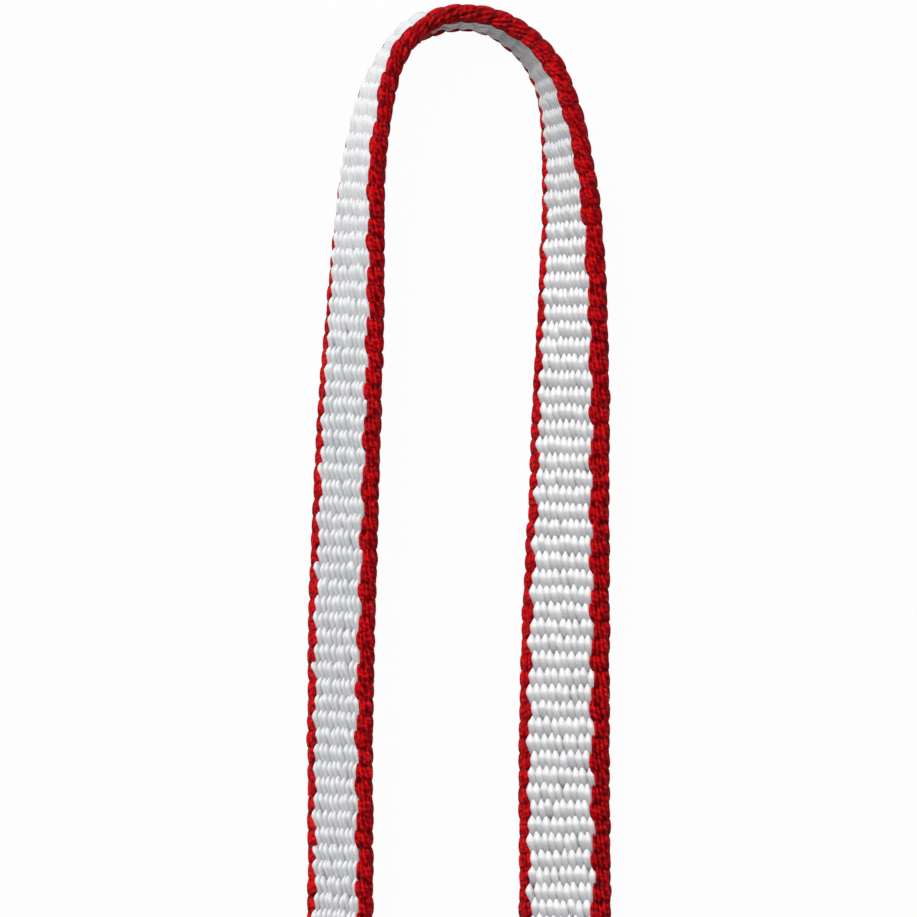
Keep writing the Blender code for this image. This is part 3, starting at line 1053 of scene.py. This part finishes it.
def seenRays(tree):
    # 1 for what the camera sees by itself, in a gloss or through a clear surface
    rays = tree.nodes.new("ShaderNodeLightPath")
    glossy = tree.nodes.new("ShaderNodeMath")
    glossy.operation = "ADD"
    link(tree, rays.outputs["Is Glossy Ray"], glossy.inputs[0])
    link(tree, rays.outputs["Is Transmission Ray"], glossy.inputs[1])
    seen = tree.nodes.new("ShaderNodeMath")
    seen.operation = "ADD"
    seen.use_clamp = True
    link(tree, rays.outputs["Is Camera Ray"], seen.inputs[0])
    link(tree, glossy.outputs[0], seen.inputs[1])
    return seen.outputs[0]


def makeStage():
    made, tree, shader = nodeMaterial("paleFloor")
    tree.nodes.remove(shader)
    output = tree.nodes["Material Output"]
    matt = tree.nodes.new("ShaderNodeBsdfDiffuse")
    matt.inputs["Color"].default_value = (*stage["colour"], 1)
    glow = tree.nodes.new("ShaderNodeEmission")
    share = tree.nodes.new("ShaderNodeMath")
    share.operation = "MULTIPLY"
    share.inputs[1].default_value = stage["glow"]
    link(tree, seenRays(tree), share.inputs[0])
    mix = tree.nodes.new("ShaderNodeMixShader")
    link(tree, share.outputs[0], mix.inputs["Fac"])
    link(tree, matt.outputs[0], mix.inputs[1])
    link(tree, glow.outputs[0], mix.inputs[2])
    link(tree, mix.outputs[0], output.inputs["Surface"])
    mesh = bmesh.new()
    bmesh.ops.create_grid(mesh, x_segments=1, y_segments=1, size=stage["halfSide"])
    bmesh.ops.translate(mesh, verts=mesh.verts, vec=(0, 0, -stage["drop"]))
    floor = newObject("floor", meshFrom("floor", mesh))
    floor.data.materials.append(made)


def makeLight():
    world = bpy.data.worlds.new("studio")
    world.use_nodes = True
    tree = world.node_tree
    background = tree.nodes["Background"]
    strength = tree.nodes.new("ShaderNodeMapRange")
    strength.inputs["To Min"].default_value = light["ambient"]
    strength.inputs["To Max"].default_value = 1.0
    link(tree, seenRays(tree), strength.inputs["Value"])
    background.inputs["Color"].default_value = (1, 1, 1, 1)
    link(tree, strength.outputs["Result"], background.inputs["Strength"])
    bpy.context.scene.world = world
    for name, spot, size, watts in light["lamps"]:
        data = bpy.data.lights.new(name, "AREA")
        data.size = size
        data.energy = watts
        lamp = bpy.data.objects.new(name, data)
        lamp.location = spot
        lamp.rotation_mode = "QUATERNION"
        lamp.rotation_quaternion = (-Vector(spot)).to_track_quat("-Z", "Y")
        bpy.context.scene.collection.objects.link(lamp)


# Everything together

makeCamera()
fibres = makeFibreGroup()
white = yarnMaterial("whiteFibre", whiteFinish, fibres)
red = yarnMaterial("redFibre", redFinish, fibres)
thread = yarnMaterial("redThread", threadFinish, fibres)

band, path = makeCore(coreMaterial())
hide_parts("webbing_bight", "webbing_tail", "webbing_roll")

rollMiddle = (route["rollStart"] + route["length"]) / 2
stretches = [
    ("Bight", fine, strapStart, route["rollStart"]),
    ("RollA", plain, route["rollStart"], rollMiddle),
    ("RollB", plain, rollMiddle, route["length"]),
    ("Tail", fine, route["length"], strapEnd),
]
for stretch, fineness, start, end in stretches:
    for name, kind, face in (("innerFloats", innerFloat, -1), ("outerFloats", outerFloat, 1)):
        whiteFloats(name + stretch, kind, fineness, face, start, end, white)
    for side, words in ((1, "upper"), (-1, "lower")):
        piece = redFloats(words + "Edge" + stretch, slim, side, start, end, red)
        node = {"Bight": "bight", "RollA": "roll", "Tail": "tail"}.get(stretch)
        if node:
            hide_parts(words + "_edge_" + node)

first = strap["spliceStart"] + tack["endMargin"]
last = strap["tailLength"] - tack["endMargin"]
for number, middle in enumerate(np.linspace(first, last, tack["count"]), start=1):
    piece = makeTack(number, middle, thread)
    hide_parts("bar_tack_" + str(number))

makeStage()
makeLight()

scene = bpy.context.scene
scene.view_settings.view_transform = "Standard"
